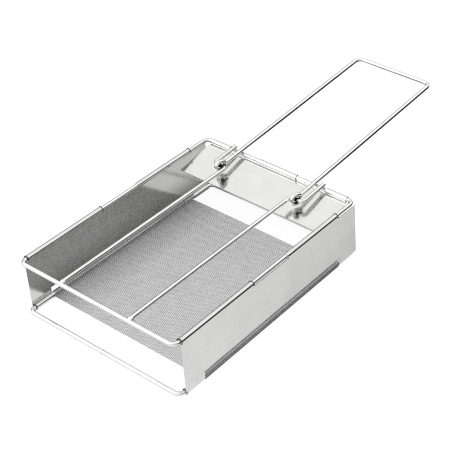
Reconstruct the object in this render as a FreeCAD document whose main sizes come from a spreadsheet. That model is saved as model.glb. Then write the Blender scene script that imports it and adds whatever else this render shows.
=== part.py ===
import FreeCAD, Part
import math
import os
import Sketcher

# Folding grill basket: two closed wire frames joined by two hinged sheet side
# walls, a woven floor rolled round the lower side wires, two grate rods welded
# across the top, a hinged sheet back flap and a swinging U-shaped wire handle.
#
# Row frame: millimetres, +Z up, +Y from the open front to the handle.
# Origin: centre of the underside of the floor.

doc = FreeCAD.newDocument("grill_basket")
dims = doc.addObject("Spreadsheet::Sheet", "dims")

CELLS = [
    # frames
    ("frame_width", 130.0),       # between the axes of the long wires
    ("frame_length", 191.3),      # between the axes of the end wires
    ("frame_wire", 1.5),          # wire radius
    ("corner_bend", 4.5),         # bend radius of the frame corners, on the axis
    ("link_height", 38.83),       # lower axis to upper axis along a side wall
    ("lean_angle", 5.59),         # how far the walls lean to -X as set down
    ("floor_drop", 2.45),         # lower wire axis above the underside of the floor
    # sheet
    ("sheet", 0.3),
    ("curl_bore", 1.6),           # inner radius of a rolled knuckle
    ("curl_outer", 1.9),
    ("curl_big", 2.05),           # outer radius of a knuckle with a lip
    ("curl_shift", 0.15),
    ("lip_drop", 1.9),            # how far the lip comes down past the axis
    ("edge_gap", 1.3),            # free edge of a sheet below the wire axis
    # side walls, positions along Y from the front wire axis
    ("wall_front", 4.2),
    ("wall_back", 190.4),
    ("tab_a_from", 4.9),
    ("lip_a_from", 22.2),         # the front knuckle has its lip only behind this
    ("tab_a_to", 76.2),
    ("tab_b_from", 113.0),
    ("tab_b_to", 170.0),
    ("foot_a_from", 4.8),
    ("foot_a_to", 22.0),
    ("foot_b_from", 170.1),
    ("foot_b_to", 186.5),
    ("slot_from", 22.2),
    ("slot_to", 169.9),
    ("slot_height", 5.0),
    # back flap
    ("flap_half", 61.0),
    ("flap_drop", 36.4),
    ("flap_angle", 9.0),          # below level, as set down
    ("flap_tab_half", 17.0),
    ("flap_tab_in", 43.0),
    ("flap_tab_out", 60.0),
    ("flap_clip", 2.5),
    # floor
    ("floor_from", 22.8),
    ("floor_to", 169.4),
    ("middle", 96.75),            # the station that lies over the origin
    ("floor_sheet", 0.3),
    ("roll_bore", 1.6),
    ("roll_outer", 2.45),
    # grate rods
    ("rod", 1.5),
    ("rod_half", 28.8),
    ("rod_lift", 1.5),
    ("rod_front", 1.6),
    ("pin_station", 167.7),
    ("rod_bend", 3.0),
    ("tail_half", 39.2),
    ("tail_end", 192.7),
    ("tail_angle", 3.9),
    # handle
    ("handle_wire", 1.5),
    ("handle_half", 32.9),
    ("handle_reach", 175.8),
    ("handle_bend", 5.0),
    ("handle_angle", 3.85),
    ("eye_mean", 3.75),
    ("eye_sweep", 338.0),
    ("eye_twist", 20.0),          # both eyes are wound the same way, off square
    ("eye_shift", 0.42),           # each eye stands outside its leg
    # welds
    ("front_bead", 2.15),
    ("rear_bead", 1.45),
    ("seam_bead", 1.68),
    ("seam_length", 1.6),
    ("seam_station", 24.0),       # where the upper loop is closed, on its back wire
]
for row, (alias, number) in enumerate(CELLS, start=1):
    dims.set("A%d" % row, alias)
    dims.set("B%d" % row, repr(number))
    dims.setAlias("B%d" % row, alias)
doc.recompute()
D = dict(CELLS)

# Places that several pieces share, written once as expressions.
HALF_W = "dims.frame_width / 2"
LEAN = "dims.lean_angle * 1 deg"
TOP_X = "(-dims.link_height * sin(%s))" % LEAN
TOP_Z = "(dims.link_height * cos(%s) + dims.floor_drop)" % LEAN
FRONT_Y = "(-dims.middle)"


def place(obj, x="0", y="0", z="0", turn=None):
    """Binds an object's position to the sheet; turn is a fixed rotation."""
    if turn is not None:
        obj.Placement = FreeCAD.Placement(FreeCAD.Vector(0, 0, 0), turn)
    for key, text in (("x", x), ("y", y), ("z", z)):
        if text != "0":
            obj.setExpression("Placement.Base." + key, text)
    return obj


def lay(obj, axis, angle, x, y, z):
    """Position and one rotation about a row axis, both bound to the sheet."""
    obj.Placement = FreeCAD.Placement(FreeCAD.Vector(0, 0, 0), FreeCAD.Rotation(axis, 10))
    obj.setExpression("Placement.Rotation.Angle", angle)
    for key, text in (("x", x), ("y", y), ("z", z)):
        obj.setExpression("Placement.Base." + key, text)
    return obj


ALONG = {
    "X": FreeCAD.Rotation(FreeCAD.Vector(0, 1, 0), 90),
    "Y": FreeCAD.Rotation(FreeCAD.Vector(1, 0, 0), -90),
    "Z": FreeCAD.Rotation(),
}
SPIN = FreeCAD.Vector(0, 0, 1)


def rod(name, radius, length, axis, x="0", y="0", z="0", turn=None):
    o = doc.addObject("Part::Cylinder", name)
    o.setExpression("Radius", radius)
    o.setExpression("Height", length)
    return place(o, x, y, z, turn if turn is not None else ALONG[axis])


def bend(name, major, minor, x="0", y="0", z="0", start=0.0, turn=None, sweep="90"):
    """Part of a torus round +Z that begins start degrees from +X."""
    o = doc.addObject("Part::Torus", name)
    o.setExpression("Radius1", major)
    o.setExpression("Radius2", minor)
    o.setExpression("Angle3", sweep)
    r = FreeCAD.Rotation(SPIN, start)
    return place(o, x, y, z, r if turn is None else turn.multiply(r))


def block(name, lx, ly, lz, x="0", y="0", z="0"):
    o = doc.addObject("Part::Box", name)
    o.setExpression("Length", lx)
    o.setExpression("Width", ly)
    o.setExpression("Height", lz)
    return place(o, x, y, z)


def fuse(name, members):
    o = doc.addObject("Part::MultiFuse", name)
    o.Shapes = members
    o.Refine = True
    return o


def cut(name, base, tool):
    o = doc.addObject("Part::Cut", name)
    o.Base = base
    o.Tool = tool
    return o


def plate(name, plane, corners, thickness):
    """A flat sheet blank: a closed outline whose corners are bound to the sheet, padded."""
    body = doc.addObject("PartDesign::Body", name)
    origin_plane = [f for f in body.Origin.OriginFeatures if f.Role == plane][0]
    sketch = body.newObject("Sketcher::SketchObject", name + "_outline")
    sketch.AttachmentSupport = [(origin_plane, "")]
    sketch.MapMode = "FlatFace"
    doc.recompute()
    n = len(corners)
    for i in range(n):
        a, b = corners[i], corners[(i + 1) % n]
        sketch.addGeometry(
            Part.LineSegment(FreeCAD.Vector(a[0], a[1], 0), FreeCAD.Vector(b[0], b[1], 0)), False
        )
    for i in range(n):
        sketch.addConstraint(Sketcher.Constraint("Coincident", i, 2, (i + 1) % n, 1))
    for i, (u, v, eu, ev) in enumerate(corners):
        for kind, value, text in (("DistanceX", u, eu), ("DistanceY", v, ev)):
            k = sketch.addConstraint(Sketcher.Constraint(kind, -1, 1, i, 1, value))
            sketch.setExpression("Constraints[%d]" % k, text)
    doc.recompute()
    pad = body.newObject("PartDesign::Pad", name + "_pad")
    pad.Profile = sketch
    pad.Length = 1.0
    pad.setExpression("Length", thickness)
    doc.recompute()
    return body


def wire_loop(tag, seam_x, seam_y):
    """A closed round-cornered rectangle of wire in its own plane, with its butt weld."""
    w, l, r, c = HALF_W, "dims.frame_length", "dims.frame_wire", "dims.corner_bend"
    run_x = "dims.frame_width - 2 * dims.corner_bend"
    run_y = "dims.frame_length - 2 * dims.corner_bend"
    parts = [
        rod(tag + "_front", r, run_x, "X", "-(%s) / 2" % run_x),
        rod(tag + "_back", r, run_x, "X", "-(%s) / 2" % run_x, l),
        rod(tag + "_left", r, run_y, "Y", "-" + w, c),
        rod(tag + "_right", r, run_y, "Y", w, c),
        bend(tag + "_corner_a", c, r, "%s - %s" % (w, c), "%s - %s" % (l, c), start=0),
        bend(tag + "_corner_b", c, r, "-%s + %s" % (w, c), "%s - %s" % (l, c), start=90),
        bend(tag + "_corner_c", c, r, "-%s + %s" % (w, c), c, start=180),
        bend(tag + "_corner_d", c, r, "%s - %s" % (w, c), c, start=270),
        rod(tag + "_seam", "dims.seam_bead", "dims.seam_length", "X", seam_x + " - dims.seam_length / 2", seam_y),
    ]
    return fuse(tag + "_loop", parts)


SUBPARTS = []


def keep(obj, label):
    obj.Label = label
    SUBPARTS.append(obj)
    return obj


# --- the two wire frames -----------------------------------------------------
bottom = wire_loop("lower", "0", "0")
place(bottom, "0", FRONT_Y, "dims.floor_drop")
keep(bottom, "bottom_frame")

top = wire_loop("upper", "dims.seam_station", "dims.frame_length")
place(top, TOP_X, FRONT_Y, TOP_Z)
keep(top, "top_frame")

# --- side walls --------------------------------------------------------------
# Local frame: the lower wire axis, z up the wall, outward = side * x.


def side_wall(tag, side):
    s = "" if side > 0 else "-"
    d = D
    top_edge = d["link_height"] - d["edge_gap"]
    e_top = "dims.link_height - dims.edge_gap"
    corners = [
        (d["wall_front"], 0.0, "dims.wall_front", "0 mm"),
        (d["slot_from"], 0.0, "dims.slot_from", "0 mm"),
        (d["slot_from"], d["slot_height"], "dims.slot_from", "dims.slot_height"),
        (d["slot_to"], d["slot_height"], "dims.slot_to", "dims.slot_height"),
        (d["slot_to"], 0.0, "dims.slot_to", "0 mm"),
        (d["wall_back"], 0.0, "dims.wall_back", "0 mm"),
        (d["wall_back"], top_edge, "dims.wall_back", e_top),
    ]
    for a, b in (("tab_b_to", "tab_b_from"), ("tab_a_to", "tab_a_from")):
        corners += [
            (d[a], top_edge, "dims." + a, e_top),
            (d[a], d["link_height"], "dims." + a, "dims.link_height"),
            (d[b], d["link_height"], "dims." + b, "dims.link_height"),
            (d[b], top_edge, "dims." + b, e_top),
        ]
    corners.append((d["wall_front"], top_edge, "dims.wall_front", e_top))
    blank = plate(tag + "_sheet", "YZ_Plane", corners, "dims.sheet")
    blank.setExpression(
        "Placement.Base.x", "dims.curl_bore" if side > 0 else "-dims.curl_outer"
    )
    parts = [blank]
    for k, (a, b, lip) in enumerate(
        (("tab_a_from", "tab_a_to", "lip_a_from"), ("tab_b_from", "tab_b_to", "tab_b_from"))
    ):
        run = "dims.%s - dims.%s" % (b, a)
        lip_run = "dims.%s - dims.%s" % (b, lip)
        parts.append(
            rod("%s_curl_%d" % (tag, k), "dims.curl_big", run, "Y", s + "dims.curl_shift", "dims." + a, "dims.link_height")
        )
        parts.append(
            block(
                "%s_lip_%d" % (tag, k), "dims.sheet", lip_run, "dims.lip_drop",
                "dims.curl_outer" if side > 0 else "-dims.curl_outer - dims.sheet",
                "dims." + lip, "dims.link_height - dims.lip_drop",
            )
        )
    parts.append(rod(tag + "_foot_0", "dims.curl_outer", "dims.foot_a_to - dims.foot_a_from", "Y", "0", "dims.foot_a_from"))
    parts.append(rod(tag + "_foot_1", "dims.curl_outer", "dims.foot_b_to - dims.foot_b_from", "Y", "0", "dims.foot_b_from"))
    solid = fuse(tag + "_blank", parts)
    bores = fuse(
        tag + "_bores",
        [
            rod(tag + "_bore_low", "dims.curl_bore", "dims.frame_length", "Y"),
            rod(tag + "_bore_high", "dims.curl_bore", "dims.frame_length", "Y", "0", "0", "dims.link_height"),
        ],
    )
    wall = cut(tag + "_wall", solid, bores)
    lay(
        wall, FreeCAD.Vector(0, 1, 0), "-dims.lean_angle * 1 deg",
        HALF_W if side > 0 else "-" + HALF_W, FRONT_Y, "dims.floor_drop",
    )
    return wall


keep(side_wall("right", 1), "right_side_wall")
keep(side_wall("left", -1), "left_side_wall")

# --- back flap ---------------------------------------------------------------
# Local frame: the upper back wire axis; the sheet hangs down -Z, behind the wire.
d = D
top_edge = -d["edge_gap"]
pts = [(d["flap_half"], -d["flap_drop"], "dims.flap_half", "-dims.flap_drop")]
pts.append((d["flap_half"], top_edge - d["flap_clip"], "dims.flap_half", "-dims.edge_gap - dims.flap_clip"))
pts.append((d["flap_tab_out"], top_edge, "dims.flap_tab_out", "-dims.edge_gap"))
for a, b, ea, eb in (
    (d["flap_tab_out"], d["flap_tab_in"], "dims.flap_tab_out", "dims.flap_tab_in"),
    (d["flap_tab_half"], -d["flap_tab_half"], "dims.flap_tab_half", "-dims.flap_tab_half"),
    (-d["flap_tab_in"], -d["flap_tab_out"], "-dims.flap_tab_in", "-dims.flap_tab_out"),
):
    if a != d["flap_tab_out"]:
        pts.append((a, top_edge, ea, "-dims.edge_gap"))
    pts += [(a, 0.0, ea, "0 mm"), (b, 0.0, eb, "0 mm"), (b, top_edge, eb, "-dims.edge_gap")]
pts.append((-d["flap_half"], top_edge - d["flap_clip"], "-dims.flap_half", "-dims.edge_gap - dims.flap_clip"))
pts.append((-d["flap_half"], -d["flap_drop"], "-dims.flap_half", "-dims.flap_drop"))
flap_sheet = plate("flap_sheet", "XZ_Plane", pts, "dims.sheet")
flap_sheet.setExpression("Placement.Base.y", "dims.curl_outer")
parts = [flap_sheet]
for k, (x0, run) in enumerate(
    (
        ("-dims.flap_tab_out", "dims.flap_tab_out - dims.flap_tab_in"),
        ("-dims.flap_tab_half", "2 * dims.flap_tab_half"),
        ("dims.flap_tab_in", "dims.flap_tab_out - dims.flap_tab_in"),
    )
):
    parts.append(rod("flap_curl_%d" % k, "dims.curl_big", run, "X", x0, "dims.curl_shift"))
    parts.append(block("flap_lip_%d" % k, run, "dims.sheet", "dims.lip_drop", x0, "dims.curl_outer", "-dims.lip_drop"))
flap_blank = fuse("flap_blank", parts)
flap_bore = rod("flap_bore", "dims.curl_bore", "dims.frame_width", "X", "-" + HALF_W)
flap = cut("flap", flap_blank, flap_bore)
lay(flap, FreeCAD.Vector(1, 0, 0), "-(90 - dims.flap_angle) * 1 deg", TOP_X, FRONT_Y + " + dims.frame_length", TOP_Z)
keep(flap, "back_flap")

# --- floor -------------------------------------------------------------------
# A flat web under the lower wires whose long edges roll up round them.
run = "dims.floor_to - dims.floor_from"
web = block(
    "floor_web", "dims.frame_width", run, "dims.floor_sheet", "-" + HALF_W, FRONT_Y + " + dims.floor_from"
)
rolls = []
for tag, x, sign in (("left", "-" + HALF_W, -1), ("right", HALF_W, 1)):
    full = rod("roll_%s" % tag, "dims.roll_outer", run, "Y", x, FRONT_Y + " + dims.floor_from", "dims.floor_drop")
    # the lower inner quarter stays open, where the roll leaves the web
    gap = block(
        "roll_gap_%s" % tag, "dims.roll_outer + 1", run + " + 2", "dims.roll_outer - dims.floor_sheet",
        x if sign < 0 else x + " - dims.roll_outer - 1", FRONT_Y + " + dims.floor_from - 1", "dims.floor_sheet",
    )
    rolls.append(cut("roll_open_%s" % tag, full, gap))
floor_blank = fuse("floor_blank", [web] + rolls)
floor_bores = fuse(
    "floor_bores",
    [
        rod("roll_bore_l", "dims.roll_bore", "dims.frame_length", "Y", "-" + HALF_W, FRONT_Y, "dims.floor_drop"),
        rod("roll_bore_r", "dims.roll_bore", "dims.frame_length", "Y", HALF_W, FRONT_Y, "dims.floor_drop"),
    ],
)
floor = cut("floor", floor_blank, floor_bores)
floor.Placement = FreeCAD.Placement()
keep(floor, "mesh_floor")

# --- grate rods --------------------------------------------------------------
# Local frame: the top frame's own centre line and front wire axis.


def grate_rod(tag, side):
    s = "" if side > 0 else "-"
    r, c, y0, z0 = "dims.rod", "dims.rod_bend", "dims.pin_station", "dims.rod_lift"
    tilt = FreeCAD.Rotation(FreeCAD.Vector(1, 0, 0), D["tail_angle"])
    ta = "dims.tail_angle * 1 deg"
    x_rod, x_tail = "dims.rod_half", "dims.tail_half"
    pin_run = "%s - %s - 2 * %s" % (x_tail, x_rod, c)
    pin_from = "%s + %s" % (x_rod, c) if side > 0 else "-(%s - %s)" % (x_tail, c)
    parts = [
        rod(tag + "_run", r, "%s - %s - dims.rod_front" % (y0, c), "Y", s + x_rod, "dims.rod_front", z0),
        bend(tag + "_bend_a", c, r, "%s(%s + %s)" % (s, x_rod, c), "%s - %s" % (y0, c), z0, start=90 if side > 0 else 0),
        rod(tag + "_pin", r, pin_run, "X", pin_from, y0, z0),
        bend(
            tag + "_bend_b", c, r, "%s(%s - %s)" % (s, x_tail, c),
            "%s + %s * cos(%s)" % (y0, c, ta), "%s + %s * sin(%s)" % (z0, c, ta),
            start=270 if side > 0 else 180, turn=tilt,
        ),
        rod(
            tag + "_tail", r, "(dims.tail_end - %s) / cos(%s) - %s" % (y0, ta, c), "Y", s + x_tail,
            "%s + %s * cos(%s)" % (y0, c, ta), "%s + %s * sin(%s)" % (z0, c, ta),
            turn=tilt.multiply(ALONG["Y"]),
        ),
    ]
    o = fuse(tag + "_rod", parts)
    return place(o, TOP_X, FRONT_Y, TOP_Z)


right_rod = keep(grate_rod("right_grate", 1), "right_grate_rod")
left_rod = keep(grate_rod("left_grate", -1), "left_grate_rod")

# --- weld beads --------------------------------------------------------------


def bead(name, radius, x, y, z):
    o = doc.addObject("Part::Sphere", name)
    o.setExpression("Radius", radius)
    return place(o, x, y, z)


front_beads = fuse(
    "front_beads",
    [
        bead("bead_fr", "dims.front_bead", TOP_X + " + dims.rod_half", FRONT_Y + " + dims.rod_front + 0.2", TOP_Z + " + 0.75"),
        bead("bead_fl", "dims.front_bead", TOP_X + " - dims.rod_half", FRONT_Y + " + dims.rod_front + 0.2", TOP_Z + " + 0.75"),
    ],
)
rear_beads = fuse(
    "rear_beads",
    [
        bead("bead_rr", "dims.rear_bead", TOP_X + " + dims.tail_half", FRONT_Y + " + dims.frame_length - 1.0", TOP_Z + " + 1.45"),
        bead("bead_rl", "dims.rear_bead", TOP_X + " - dims.tail_half", FRONT_Y + " + dims.frame_length - 1.0", TOP_Z + " + 1.45"),
    ],
)
steel = doc.addObject("Part::MultiFuse", "welded_wires")
steel.Shapes = [top, right_rod, left_rod]
keep(cut("front_weld_cut", front_beads, steel), "front_weld_beads")
keep(cut("rear_weld_cut", rear_beads, steel), "rear_weld_beads")

# --- handle ------------------------------------------------------------------
# Local frame: the axis of the two eyes, legs along +Y.
r, c = "dims.handle_wire", "dims.handle_bend"
parts = []
for side, tag in ((1, "right"), (-1, "left")):
    s = "" if side > 0 else "-"
    ring_turn = FreeCAD.Rotation(FreeCAD.Vector(0, 0, 1), -D["eye_twist"]).multiply(
        FreeCAD.Rotation(FreeCAD.Vector(0, 1, 0), 90)
    )
    eye = bend(
        "eye_" + tag, "dims.eye_mean", r, s + "(dims.handle_half + dims.eye_shift)",
        start=102.0, turn=ring_turn, sweep="dims.eye_sweep",
    )
    leg = rod(
        "leg_" + tag, r, "dims.handle_reach - %s - dims.eye_mean" % c, "Y", s + "dims.handle_half", "dims.eye_mean"
    )
    parts += [
        eye,
        leg,
        bend("grip_bend_" + tag, c, r, "%s(dims.handle_half - %s)" % (s, c), "dims.handle_reach - %s" % c, start=0 if side > 0 else 90),
    ]
parts.append(
    rod("grip_bar", r, "2 * (dims.handle_half - %s)" % c, "X", "-(dims.handle_half - %s)" % c, "dims.handle_reach")
)
handle = fuse("handle_wire_solid", parts)
lay(
    handle, FreeCAD.Vector(1, 0, 0), "dims.handle_angle * 1 deg",
    TOP_X, FRONT_Y + " + dims.pin_station", TOP_Z + " + dims.rod_lift",
)
keep(handle, "handle")

doc.recompute()

# --- checks and export -------------------------------------------------------
bad = [o.Name for o in doc.Objects if any(f in o.State for f in ("Invalid", "Error"))]
if bad:
    raise SystemExit("objects failed: %s" % bad)
for o in SUBPARTS:
    if o.Shape.isNull() or not o.Shape.isValid() or not o.Shape.Solids:
        raise SystemExit("bad shape: %s" % o.Label)

os.makedirs("parts", exist_ok=True)
for o in SUBPARTS:
    o.Shape.exportStep("parts/%s.step" % o.Label)
    b = o.Shape.BoundBox
    print(
        "%-18s solids %d volume %9.2f  x %.2f..%.2f  y %.2f..%.2f  z %.2f..%.2f"
        % (o.Label, len(o.Shape.Solids), o.Shape.Volume, b.XMin, b.XMax, b.YMin, b.YMax, b.ZMin, b.ZMax)
    )
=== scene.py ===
import bmesh
import bpy
import math
import numpy as np
from mathutils import Matrix, Vector


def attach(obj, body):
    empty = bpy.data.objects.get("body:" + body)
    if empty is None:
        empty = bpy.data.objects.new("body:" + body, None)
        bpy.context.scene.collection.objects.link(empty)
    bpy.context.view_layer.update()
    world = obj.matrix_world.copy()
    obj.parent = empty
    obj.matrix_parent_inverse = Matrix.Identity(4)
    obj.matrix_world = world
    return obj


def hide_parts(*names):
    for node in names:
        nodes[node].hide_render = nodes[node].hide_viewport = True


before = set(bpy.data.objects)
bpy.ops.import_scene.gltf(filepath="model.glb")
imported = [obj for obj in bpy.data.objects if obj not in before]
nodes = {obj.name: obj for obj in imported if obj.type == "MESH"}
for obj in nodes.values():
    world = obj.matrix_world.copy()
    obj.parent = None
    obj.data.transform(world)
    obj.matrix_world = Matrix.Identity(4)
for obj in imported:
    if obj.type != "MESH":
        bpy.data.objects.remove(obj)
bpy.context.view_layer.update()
MM = 0.001
rng = np.random.default_rng(7)

# studio: what the metal sees below the horizon, and softboxes as (direction, inner and outer half angle, gain)
UNDER, FRONT_GAP = 0.78, 1.0
LOW_DARK, LOW_BRIGHT = 0.03, 1.06
LOBES = (
    ((0.25, 0.64, 0.72), 14, 40, 0.16),
    ((-0.50, -0.62, 0.60), 20, 50, 0.9),
    ((0.95, -0.10, 0.30), 10, 45, -0.45),
    ((-0.85, 0.50, 0.10), 8, 36, -0.35),
    ((0.80, 0.60, 0.05), 14, 34, -0.85),
)


# ---------------------------------------------------------------------------
# node helpers
# ---------------------------------------------------------------------------
class Tree:
    def __init__(self, tree):
        self.t = tree
        self.x = -1400

    def node(self, kind, **settings):
        n = self.t.nodes.new(kind)
        n.location = (self.x, -200)
        self.x += 40
        for k, v in settings.items():
            setattr(n, k, v)
        return n

    def link(self, a, b):
        self.t.links.new(a, b)


def new_material(name):
    m = bpy.data.materials.new(name)
    m.use_nodes = True
    m.node_tree.nodes.clear()
    t = Tree(m.node_tree)
    out = t.node("ShaderNodeOutputMaterial")
    bsdf = t.node("ShaderNodeBsdfPrincipled")
    t.link(bsdf.outputs["BSDF"], out.inputs["Surface"])
    return m, t, bsdf


def mapped(t, scale, rotation=(0, 0, 0)):
    co = t.node("ShaderNodeTexCoord")
    mp = t.node("ShaderNodeMapping")
    mp.inputs["Scale"].default_value = scale
    mp.inputs["Rotation"].default_value = rotation
    t.link(co.outputs["Object"], mp.inputs["Vector"])
    return mp.outputs["Vector"]


def noise(t, vector, scale=1.0, detail=3.0, rough=0.55, distortion=0.0):
    n = t.node("ShaderNodeTexNoise")
    n.inputs["Scale"].default_value = scale
    n.inputs["Detail"].default_value = detail
    n.inputs["Roughness"].default_value = rough
    n.inputs["Distortion"].default_value = distortion
    t.link(vector, n.inputs["Vector"])
    return n.outputs["Fac"]


def ramp(t, value, stops):
    r = t.node("ShaderNodeValToRGB")
    e = r.color_ramp.elements
    while len(e) < len(stops):
        e.new(0.5)
    for k, (pos, col) in enumerate(stops):
        e[k].position = pos
        e[k].color = (*col, 1) if len(col) == 3 else col
    t.link(value, r.inputs["Fac"])
    return r.outputs["Color"]


def span(t, value, a, b, c, d):
    r = t.node("ShaderNodeMapRange")
    for key, v in (("From Min", a), ("From Max", b), ("To Min", c), ("To Max", d)):
        r.inputs[key].default_value = v
    t.link(value, r.inputs["Value"])
    return r.outputs["Result"]


def math_node(t, op, a, b=None):
    n = t.node("ShaderNodeMath", operation=op)
    for k, v in enumerate((a, b)):
        if v is None:
            continue
        if isinstance(v, (int, float)):
            n.inputs[k].default_value = v
        else:
            t.link(v, n.inputs[k])
    return n.outputs[0]


def above(t, value, limit):
    n = t.node("ShaderNodeMapRange", interpolation_type="SMOOTHSTEP")
    n.inputs["From Min"].default_value = limit - 0.06
    n.inputs["From Max"].default_value = limit
    t.link(value, n.inputs["Value"])
    return n.outputs["Result"]


def cut_edges(t, kind):
    """1 on the cut edges of a sheet, 0 on its rolled faces, from the part's own normals and place."""
    co = t.node("ShaderNodeTexCoord")
    n = t.node("ShaderNodeSeparateXYZ")
    t.link(co.outputs["Normal"], n.inputs[0])
    p = t.node("ShaderNodeSeparateXYZ")
    t.link(co.outputs["Object"], p.inputs[0])
    ax, ay, az = (math_node(t, "ABSOLUTE", n.outputs[k]) for k in "XYZ")
    if kind == "wall":
        ends = above(t, n.outputs["Y"], 0.9)
        inside = math_node(t, "MULTIPLY", math_node(t, "GREATER_THAN", p.outputs["Z"], 0.0052), math_node(t, "LESS_THAN", p.outputs["Z"], 0.0386))
        return math_node(t, "MAXIMUM", ends, math_node(t, "MULTIPLY", above(t, az, 0.9), inside))
    free = math_node(t, "LESS_THAN", p.outputs["Y"], 0.088)
    return math_node(t, "MAXIMUM", above(t, ax, 0.9), math_node(t, "MULTIPLY", above(t, ay, 0.9), free))


# the axis points of the two handle eyes, round which the wire colour is darkened as painted shade
EYES = ((29.538 * MM, 70.95 * MM, 42.595 * MM), (-37.102 * MM, 70.95 * MM, 42.595 * MM))


def near_eyes(t, inner, outer, low):
    """A painted-shade factor: low within inner of an eye's centre, rising to 1 at outer."""
    co = t.node("ShaderNodeTexCoord")
    result = None
    for centre in EYES:
        d = t.node("ShaderNodeVectorMath", operation="DISTANCE")
        t.link(co.outputs["Object"], d.inputs[0])
        d.inputs[1].default_value = centre
        r = t.node("ShaderNodeMapRange", interpolation_type="SMOOTHSTEP")
        for key, v in (("From Min", inner), ("From Max", outer), ("To Min", low), ("To Max", 1.0)):
            r.inputs[key].default_value = v
        t.link(d.outputs["Value"], r.inputs["Value"])
        result = r.outputs["Result"] if result is None else math_node(t, "MULTIPLY", result, r.outputs["Result"])
    return result


def on_rolls(t, inner, outer, low):
    """A painted-shade factor that falls to low where the cloth turns up round the side wires."""
    co = t.node("ShaderNodeTexCoord")
    p = t.node("ShaderNodeSeparateXYZ")
    t.link(co.outputs["Object"], p.inputs[0])
    return span(t, math_node(t, "ABSOLUTE", p.outputs["X"]), inner, outer, 1.0, low)


def steel(name, dark, light, rough, grain, grain_bump, wave_bump, smudge=70.0, edges=None, painted_shade=None):
    """Metal with drawn or rolled grain. grain: mapping scale in cycles per metre along x, y, z."""
    m, t, b = new_material(name)
    b.inputs["Metallic"].default_value = 1.0
    lines = noise(t, mapped(t, grain), 1.0, 3.0, 0.6)
    patches = noise(t, mapped(t, (1, 1, 1)), smudge, 4.0, 0.6, 0.4)
    specks = noise(t, mapped(t, (1, 1, 1)), 2600.0, 2.0, 0.5)
    mixed = math_node(t, "ADD", math_node(t, "MULTIPLY", lines, 0.45), math_node(t, "MULTIPLY", patches, 0.55))
    stops = [(0.36, dark), (0.62, light)]
    colour = ramp(t, mixed, stops)
    r = math_node(t, "ADD", span(t, patches, 0.3, 0.7, rough[0], rough[1]), span(t, lines, 0.3, 0.7, -0.015, 0.02))
    if edges:
        mask = cut_edges(t, edges)
        mix = t.node("ShaderNodeMix", data_type="RGBA")
        t.link(mask, mix.inputs[0])
        t.link(colour, mix.inputs[6])
        t.link(ramp(t, specks, [(0.3, (0.13, 0.13, 0.13)), (0.7, (0.26, 0.26, 0.255))]), mix.inputs[7])
        colour = mix.outputs[2]
        r = math_node(t, "ADD", r, math_node(t, "MULTIPLY", mask, 0.25))
    # painted shade: the colour is scaled by a factor that darkens it near the handle eyes and on the cloth's rolls
    if painted_shade:
        scale = t.node("ShaderNodeVectorMath", operation="SCALE")
        t.link(colour, scale.inputs[0])
        t.link(painted_shade[0](t, *painted_shade[1:]), scale.inputs["Scale"])
        colour = scale.outputs["Vector"]
    t.link(colour, b.inputs["Base Color"])
    t.link(math_node(t, "ADD", r, span(t, specks, 0.35, 0.7, -0.008, 0.012)), b.inputs["Roughness"])
    fine = t.node("ShaderNodeBump")
    fine.inputs["Strength"].default_value = grain_bump
    fine.inputs["Distance"].default_value = 0.00002
    t.link(lines, fine.inputs["Height"])
    if wave_bump > 0:
        wave = noise(t, mapped(t, (1, 1, 1)), 24.0, 1.5, 0.4)
        slow = t.node("ShaderNodeBump")
        slow.inputs["Strength"].default_value = wave_bump
        slow.inputs["Distance"].default_value = 0.0006
        t.link(wave, slow.inputs["Height"])
        t.link(slow.outputs["Normal"], fine.inputs["Normal"])
    t.link(fine.outputs["Normal"], b.inputs["Normal"])
    return m


frame_wire = steel("frame_wire_chrome", (0.66, 0.66, 0.655), (0.77, 0.77, 0.765), (0.07, 0.14), (700, 700, 700), 0.10, 0.0)
# rod and handle wires: painted shade, the colour darkened round the handle eyes
rod_wire = steel("rod_wire_chrome", (0.66, 0.66, 0.655), (0.77, 0.77, 0.765), (0.06, 0.13), (1500, 60, 1500), 0.12, 0.0, painted_shade=(near_eyes, 2.4 * MM, 4.3 * MM, 0.30))
handle_wire = steel("handle_wire_chrome", (0.68, 0.68, 0.675), (0.79, 0.79, 0.785), (0.06, 0.12), (1500, 60, 1500), 0.12, 0.0, painted_shade=(near_eyes, 3.0 * MM, 4.1 * MM, 0.12))
weld = steel("weld_bead", (0.70, 0.69, 0.67), (0.88, 0.87, 0.85), (0.16, 0.34), (900, 900, 900), 0.5, 0.0, 400.0)
wall_sheet = steel("wall_sheet_steel", (0.585, 0.588, 0.580), (0.660, 0.662, 0.655), (0.085, 0.15), (1400, 14, 1400), 0.05, 0.10, edges="wall")
flap_sheet = steel("flap_sheet_steel", (0.665, 0.668, 0.66), (0.73, 0.732, 0.725), (0.12, 0.19), (14, 1400, 1400), 0.05, 0.08, edges="flap")
# cloth wires: painted shade, the colour darkened where the cloth turns up round the side wires
mesh_wire = steel("mesh_wire_steel", (0.33, 0.335, 0.33), (0.45, 0.455, 0.45), (0.24, 0.36), (900, 900, 900), 0.15, 0.0, 120.0, painted_shade=(on_rolls, 64.0 * MM, 66.2 * MM, 0.58))

for name, mat in (
    ("bottom_frame", frame_wire), ("top_frame", frame_wire),
    ("right_grate_rod", rod_wire), ("left_grate_rod", rod_wire),
    ("handle", handle_wire),
    ("front_weld_beads", weld), ("rear_weld_beads", weld),
    ("right_side_wall", wall_sheet), ("left_side_wall", wall_sheet),
    ("back_flap", flap_sheet),
    ("mesh_floor", mesh_wire),
):
    o = nodes[name]
    if not o.material_slots:
        o.data.materials.append(mat)
    for s in o.material_slots:
        s.material = mat


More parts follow.
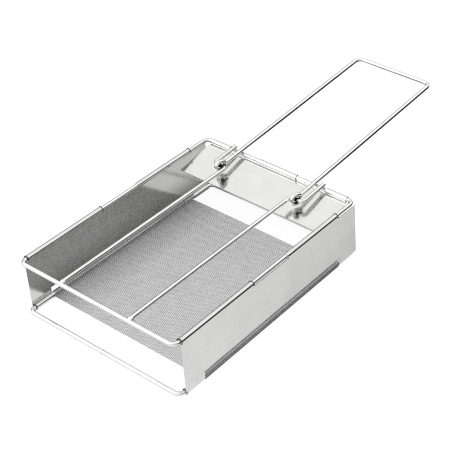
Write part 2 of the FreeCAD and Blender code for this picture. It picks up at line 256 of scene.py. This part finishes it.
# ---------------------------------------------------------------------------
# woven floor
# ---------------------------------------------------------------------------
PITCH = 0.99 * MM
WIRE = 0.16 * MM            # radius
HALF = 65.0 * MM            # lower wire axis
AXIS_Z = 2.45 * MM
ROLL = 2.12 * MM            # the cloth's middle surface round the wire
SWEEP = math.radians(280)
WARPS, WEFTS = 151, 148
CLOTH_Y = -0.65 * MM        # the middle of the cloth
SIDES = 5


def profile(s):
    """Cloth cross-section at arc length s from the middle: position and up normal in X-Z."""
    s = np.asarray(s, float)
    a = np.clip((np.abs(s) - HALF) / ROLL, 0, None)
    side = np.sign(s)
    x = np.where(a > 0, side * (HALF + ROLL * np.sin(a)), s)
    z = np.where(a > 0, AXIS_Z - ROLL * np.cos(a), AXIS_Z - ROLL)
    nx = np.where(a > 0, -side * np.sin(a), 0.0)
    nz = np.where(a > 0, np.cos(a), 1.0)
    return x, z, nx, nz


def tubes(name, lines, across, radius, sides=SIDES):
    """Closed tubes round polylines. lines: wires x samples x 3; across: a vector at right angles to each wire's plane."""
    n, m, _ = lines.shape
    tangent = np.gradient(lines, axis=1)
    tangent /= np.linalg.norm(tangent, axis=2, keepdims=True)
    side = np.broadcast_to(across, lines.shape)
    side = side - (side * tangent).sum(2, keepdims=True) * tangent
    side /= np.linalg.norm(side, axis=2, keepdims=True)
    up = np.cross(side, tangent)
    phi = np.arange(sides) / sides * 2 * np.pi + np.pi / 2
    ring = (
        lines[:, :, None, :]
        + radius * np.cos(phi)[None, None, :, None] * side[:, :, None, :]
        + radius * np.sin(phi)[None, None, :, None] * up[:, :, None, :]
    )
    verts = ring.reshape(-1, 3)
    w, k, j = np.meshgrid(np.arange(n), np.arange(m - 1), np.arange(sides), indexing="ij")
    base = (w * m + k) * sides
    j2 = (j + 1) % sides
    quads = np.stack([base + j, base + j2, base + sides + j2, base + sides + j], -1).reshape(-1, 4)
    caps_a = (np.arange(n) * m * sides)[:, None] + np.arange(sides)[None, :]
    caps_b = ((np.arange(n) * m + m - 1) * sides)[:, None] + np.arange(sides)[None, ::-1]
    caps = np.concatenate([caps_a, caps_b])
    mesh = bpy.data.meshes.new(name)
    mesh.vertices.add(len(verts))
    mesh.vertices.foreach_set("co", verts.astype(np.float32).ravel())
    total = len(quads) * 4 + len(caps) * sides
    mesh.loops.add(total)
    mesh.loops.foreach_set("vertex_index", np.concatenate([quads.ravel(), caps.ravel()]).astype(np.int32))
    counts = np.concatenate([np.full(len(quads), 4), np.full(len(caps), sides)])
    mesh.polygons.add(len(counts))
    mesh.polygons.foreach_set("loop_start", np.concatenate([[0], np.cumsum(counts)[:-1]]).astype(np.int32))
    smooth = np.concatenate([np.ones(len(quads), bool), np.zeros(len(caps), bool)])
    mesh.polygons.foreach_set("use_smooth", smooth)
    mesh.update(calc_edges=True)
    mesh.validate()
    o = bpy.data.objects.new(name, mesh)
    bpy.context.scene.collection.objects.link(o)
    return o


def floor_piece(o):
    o.data.materials.append(mesh_wire)
    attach(o, "base")
    return o


warp_s = (np.arange(WARPS) - (WARPS - 1) / 2) * PITCH
warp_s = warp_s + rng.normal(0, 0.004, WARPS) * PITCH
weft_y = (np.arange(WEFTS) - (WEFTS - 1) / 2) * PITCH
weft_y = weft_y + rng.normal(0, 0.004, WEFTS) * PITCH

# warp wires run along Y
half_y = 73.1 * MM
steps_y = int(round(2 * (WEFTS - 1))) + 1
grid_y = (np.arange(steps_y) / 2 - (WEFTS - 1) / 2) * PITCH
grid_y = np.concatenate([[-half_y], grid_y, [half_y]])
wx, wz, wnx, wnz = profile(warp_s)
phase = np.pi * (grid_y[None, :] / PITCH + (WEFTS - 1) / 2) + np.pi * np.arange(WARPS)[:, None]
lift = WIRE * np.cos(phase)
lines = np.stack(
    [
        wx[:, None] + wnx[:, None] * lift,
        np.broadcast_to(grid_y[None, :] + CLOTH_Y, lift.shape),
        wz[:, None] + wnz[:, None] * lift,
    ],
    -1,
)
warp_side = np.stack([wnz, np.zeros(WARPS), -wnx], -1)[:, None, :]
cuts = np.array_split(np.arange(WARPS), 3)
first = None
for k, part in enumerate(cuts):
    o = floor_piece(tubes("floor_warp_%s" % "abc"[k], lines[part], warp_side[part], WIRE))
    first = first or o
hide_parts("mesh_floor")

# weft wires run along X and round the two side wires
end_s = 74.6 * MM
steps_s = 2 * (WARPS - 1) + 1
grid_s = (np.arange(steps_s) / 2 - (WARPS - 1) / 2) * PITCH
grid_s = np.concatenate([[-end_s], grid_s, [end_s]])
gx, gz, gnx, gnz = profile(grid_s)
phase = np.pi * (grid_s[None, :] / PITCH + (WARPS - 1) / 2) + np.pi * np.arange(WEFTS)[:, None]
lift = -WIRE * np.cos(phase)
lines = np.stack(
    [
        gx[None, :] + gnx[None, :] * lift,
        np.broadcast_to(weft_y[:, None] + CLOTH_Y, lift.shape),
        gz[None, :] + gnz[None, :] * lift,
    ],
    -1,
)
weft_side = np.array([0.0, 1.0, 0.0])[None, None, :]
for k, part in enumerate(np.array_split(np.arange(WEFTS), 3)):
    floor_piece(tubes("floor_weft_%s" % "abc"[k], lines[part], weft_side, WIRE))


# ---------------------------------------------------------------------------
# rolled-over ends of the wall knuckles and the feet: near-black beads laid in as painted shadow of the gaps where the
# sheet curls meet the wires
# ---------------------------------------------------------------------------
gap_shadow_black = steel("gap_shadow_black_steel", (0.03, 0.03, 0.029), (0.10, 0.10, 0.098), (0.30, 0.46), (1800, 1800, 1800), 0.4, 0.0, 900.0)


def arc_points(centre, radius, start, end, count, wobble):
    """Points on an arc in the X-Z plane, with a slight unevenness along Y and in radius."""
    pts = []
    for k in range(count):
        a = math.radians(start + (end - start) * k / (count - 1))
        r = radius + wobble * 0.25 * math.sin(3.1 * a + centre[1] * 900)
        pts.append((centre[0] + r * math.cos(a), centre[1] + wobble * math.sin(2.3 * a + centre[1] * 700), centre[2] + r * math.sin(a)))
    return np.array(pts)


def bead_along(name, pts, radius, body, mat, sides=10):
    """A closed tapered-end bead along points in the X-Z plane."""
    m = len(pts)
    tangent = np.gradient(pts, axis=0)
    tangent /= np.linalg.norm(tangent, axis=1, keepdims=True)
    side = np.array([0.0, 1.0, 0.0]) - tangent * tangent[:, 1:2]
    side /= np.linalg.norm(side, axis=1, keepdims=True)
    up = np.cross(side, tangent)
    phi = np.arange(sides) / sides * 2 * np.pi
    along = np.linspace(0, 1, m)
    size = radius * np.sqrt(np.clip(1 - np.clip((np.abs(along - 0.5) - 0.44) / 0.06, 0, 0.9) ** 2, 0, 1))
    ring = pts[:, None, :] + size[:, None, None] * (np.cos(phi)[None, :, None] * side[:, None, :] + np.sin(phi)[None, :, None] * up[:, None, :])
    verts = [tuple(v) for v in ring.reshape(-1, 3)]
    faces = []
    for k in range(m - 1):
        for j in range(sides):
            j2 = (j + 1) % sides
            faces.append((k * sides + j, k * sides + j2, (k + 1) * sides + j2, (k + 1) * sides + j))
    faces.append(tuple(range(sides))[::-1])
    faces.append(tuple((m - 1) * sides + j for j in range(sides)))
    mesh = bpy.data.meshes.new(name)
    mesh.from_pydata(verts, [], faces)
    mesh.validate()
    bm_ = bmesh.new()
    bm_.from_mesh(mesh)
    bmesh.ops.recalc_face_normals(bm_, faces=bm_.faces)
    bm_.to_mesh(mesh)
    bm_.free()
    for p in mesh.polygons:
        p.use_smooth = len(p.vertices) == 4
    o = bpy.data.objects.new(name, mesh)
    bpy.context.scene.collection.objects.link(o)
    o.data.materials.append(mat)
    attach(o, body)
    return o


TOP_X, TOP_Z, FRONT_Y = -3.7824 * MM, 41.0953 * MM, -96.75 * MM
# near-black beads at the knuckle ends and round the feet, painted shadow of the gaps between sheet curls and wires
for tag, sign in (("right", 1), ("left", -1)):
    lo, hi = (-62, 205) if sign > 0 else (-25, 242)
    for k, y in (("a", 76.06), ("b", 169.86), ("c", 5.06)):
        c = (sign * 65 * MM + TOP_X + sign * 0.15 * MM, FRONT_Y + y * MM, TOP_Z)
        bead_along("%s_knuckle_gap_shadow_%s" % (tag, k), arc_points(c, 2.02 * MM, lo, hi, 44, 0.05 * MM), 0.36 * MM, tag + "_wall", gap_shadow_black)
    c = (sign * 65 * MM, FRONT_Y + 4.92 * MM, 2.45 * MM)
    lo, hi = (-178, 178) if sign > 0 else (2, 358)
    bead_along("%s_foot_gap_shadow" % tag, arc_points(c, 1.82 * MM, lo, hi, 44, 0.04 * MM), 0.30 * MM, tag + "_wall", gap_shadow_black)


# ---------------------------------------------------------------------------
# floor, light, camera
# ---------------------------------------------------------------------------
bpy.ops.mesh.primitive_plane_add(size=40.0, location=(0, 0, -0.00005))
ground = bpy.context.object
ground.name = "studio_floor"
gm = bpy.data.materials.new("studio_floor")
gm.use_nodes = True
gm.node_tree.nodes.clear()
gt = Tree(gm.node_tree)
out = gt.node("ShaderNodeOutputMaterial")
add = gt.node("ShaderNodeAddShader")
em = gt.node("ShaderNodeEmission")
em.inputs["Color"].default_value = (1, 1, 1, 1)
df = gt.node("ShaderNodeBsdfDiffuse")
df.inputs["Color"].default_value = (0.12, 0.12, 0.12, 1)
gco = gt.node("ShaderNodeTexCoord")
gsep = gt.node("ShaderNodeSeparateXYZ")
gt.link(gco.outputs["Object"], gsep.inputs[0])
under_cloth = math_node(
    gt, "MULTIPLY",
    math_node(gt, "LESS_THAN", math_node(gt, "ABSOLUTE", gsep.outputs["X"]), 0.0665),
    math_node(gt, "LESS_THAN", math_node(gt, "ABSOLUTE", math_node(gt, "ADD", gsep.outputs["Y"], 0.00065)), 0.0730),
)
shade = span(gt, gsep.outputs["X"], -0.064, -0.036, 0.45, 0.0)
gt.link(math_node(gt, "SUBTRACT", 0.90, math_node(gt, "MULTIPLY", under_cloth, shade)), em.inputs["Strength"])
gt.link(em.outputs[0], add.inputs[0])
gt.link(df.outputs[0], add.inputs[1])
gt.link(add.outputs[0], out.inputs["Surface"])
ground.data.materials.append(gm)
ground.visible_glossy = False

# a plain white backdrop, seen by the camera only
bpy.ops.mesh.primitive_uv_sphere_add(radius=12.0, segments=48, ring_count=24, location=(0, 0, 0))
dome = bpy.context.object
dome.name = "studio_backdrop"
dm = bpy.data.materials.new("studio_backdrop")
dm.use_nodes = True
dm.node_tree.nodes.clear()
dt = Tree(dm.node_tree)
dout = dt.node("ShaderNodeOutputMaterial")
dem = dt.node("ShaderNodeEmission")
dem.inputs["Color"].default_value = (1, 1, 1, 1)
dem.inputs["Strength"].default_value = 1.0
dt.link(dem.outputs[0], dout.inputs["Surface"])
dome.data.materials.append(dm)
for flag in ("visible_glossy", "visible_diffuse", "visible_shadow", "visible_transmission"):
    setattr(dome, flag, False)

# a reflector board under the object: seen only in the metal
bpy.ops.mesh.primitive_plane_add(size=2.0, location=(0.052, 0.06, -0.0004))
board = bpy.context.object
board.scale = (0.121, 0.160, 1)
board.name = "reflector_board"
bm = bpy.data.materials.new("reflector_board")
bm.use_nodes = True
bm.node_tree.nodes.clear()
bt = Tree(bm.node_tree)
bout = bt.node("ShaderNodeOutputMaterial")
bem = bt.node("ShaderNodeEmission")
bem.inputs["Color"].default_value = (1, 1, 1, 1)
bt.link(bem.outputs[0], bout.inputs["Surface"])
bco = bt.node("ShaderNodeTexCoord")
bsep = bt.node("ShaderNodeSeparateXYZ")
bt.link(bco.outputs["Generated"], bsep.inputs[0])


def soft(t, value, a, b, low, high):
    r = t.node("ShaderNodeMapRange", interpolation_type="SMOOTHSTEP")
    r.inputs["From Min"].default_value = a
    r.inputs["From Max"].default_value = b
    r.inputs["To Min"].default_value = low
    r.inputs["To Max"].default_value = high
    t.link(value, r.inputs["Value"])
    return r.outputs["Result"]


# bright in the open strip behind the lower front wire and beside the right wall, dim under the cloth
px = span(bt, bsep.outputs["X"], 0, 1, -0.069, 0.173)
py = span(bt, bsep.outputs["Y"], 0, 1, -0.100, 0.220)
cloth = math_node(bt, "MULTIPLY", soft(bt, px, -0.066, -0.030, 0.20, 1.0), UNDER)
inside = math_node(bt, "MAXIMUM", soft(bt, py, -0.076, -0.072, FRONT_GAP, 0.0), cloth)
beside = math_node(
    bt, "MULTIPLY", soft(bt, px, 0.112, 0.165, LOW_BRIGHT, LOW_DARK), soft(bt, py, 0.14, 0.21, 1.0, LOW_DARK)
)
behind = soft(bt, py, 0.13, 0.20, 1.0, LOW_DARK)
fade = math_node(bt, "MULTIPLY", span(bt, py, -0.10, 0.14, 0.0, 1.0), span(bt, px, 0.070, 0.108, 0.34, 0.16))
beside = math_node(bt, "MULTIPLY", beside, math_node(bt, "SUBTRACT", 1.03, fade))
pick = bt.node("ShaderNodeMix", data_type="FLOAT")
bt.link(soft(bt, px, 0.064, 0.068, 0.0, 1.0), pick.inputs[0])
bt.link(math_node(bt, "MULTIPLY", inside, behind), pick.inputs[2])
bt.link(beside, pick.inputs[3])
bt.link(pick.outputs[0], bem.inputs["Strength"])
board.data.materials.append(bm)
board.visible_camera = False
board.visible_diffuse = False
board.visible_shadow = False
board.visible_transmission = False

world = bpy.data.worlds.new("studio")
bpy.context.scene.world = world
world.use_nodes = True
world.node_tree.nodes.clear()
w = Tree(world.node_tree)
wout = w.node("ShaderNodeOutputWorld")
bg = w.node("ShaderNodeBackground")
w.link(bg.outputs[0], wout.inputs["Surface"])
co = w.node("ShaderNodeTexCoord")
nrm = w.node("ShaderNodeVectorMath", operation="NORMALIZE")
w.link(co.outputs["Generated"], nrm.inputs[0])
sep = w.node("ShaderNodeSeparateXYZ")
w.link(nrm.outputs["Vector"], sep.inputs[0])
height = span(w, sep.outputs["Z"], -1, 1, 0, 1)
# below the horizon: bright in front, dark behind
low = soft(w, sep.outputs["Y"], -0.10, 0.25, LOW_BRIGHT, LOW_DARK)
sky = ramp(w, height, [(0.0, (0.80,) * 3), (0.53, (0.80,) * 3), (0.64, (1.02,) * 3), (0.82, (1.16,) * 3), (1.0, (1.16,) * 3)])
above_horizon = soft(w, sep.outputs["Z"], 0.0, 0.17, 0.0, 1.0)
blend = w.node("ShaderNodeMix", data_type="FLOAT")
w.link(above_horizon, blend.inputs[0])
w.link(low, blend.inputs[2])
w.link(sky, blend.inputs[3])
sky = blend.outputs[0]


def lobe(direction, inner, outer, gain):
    """A soft round patch of the surroundings that adds gain to 1."""
    v = Vector(direction).normalized()
    dot = w.node("ShaderNodeVectorMath", operation="DOT_PRODUCT")
    w.link(nrm.outputs["Vector"], dot.inputs[0])
    dot.inputs[1].default_value = v
    return soft(w, dot.outputs["Value"], math.cos(math.radians(outer)), math.cos(math.radians(inner)), 0.0, gain)


total = 1.0
for d, inner, outer, gain in LOBES:
    total = math_node(w, "ADD", lobe(d, inner, outer, gain), total)
bg.inputs["Color"].default_value = (1, 1, 1, 1)
w.link(math_node(w, "MULTIPLY", sky, total), bg.inputs["Strength"])

cam_data = bpy.data.cameras.new("camera")
cam_data.lens = 103.83
cam_data.sensor_width = 36.0
cam_data.clip_start = 0.02
cam_data.clip_end = 100.0
cam = bpy.data.objects.new("camera", cam_data)
bpy.context.scene.collection.objects.link(cam)
right = Vector((0.78289266, 0.62214978, 0.0029572))
up = Vector((-0.37013841, 0.46193892, 0.80598387))
fwd = Vector((-0.50007664, 0.63209342, -0.59193011))
rot = Matrix((right, up, -fwd)).transposed()
cam.matrix_world = Matrix.Translation((0.449139, -0.537331, 0.560938)) @ rot.to_4x4()
bpy.context.scene.camera = cam

bpy.context.scene.view_settings.view_transform = "Standard"
bpy.context.scene.view_settings.look = "None"
bpy.context.scene.cycles.use_denoising = False
bpy.context.scene.cycles.filter_width = 1.1
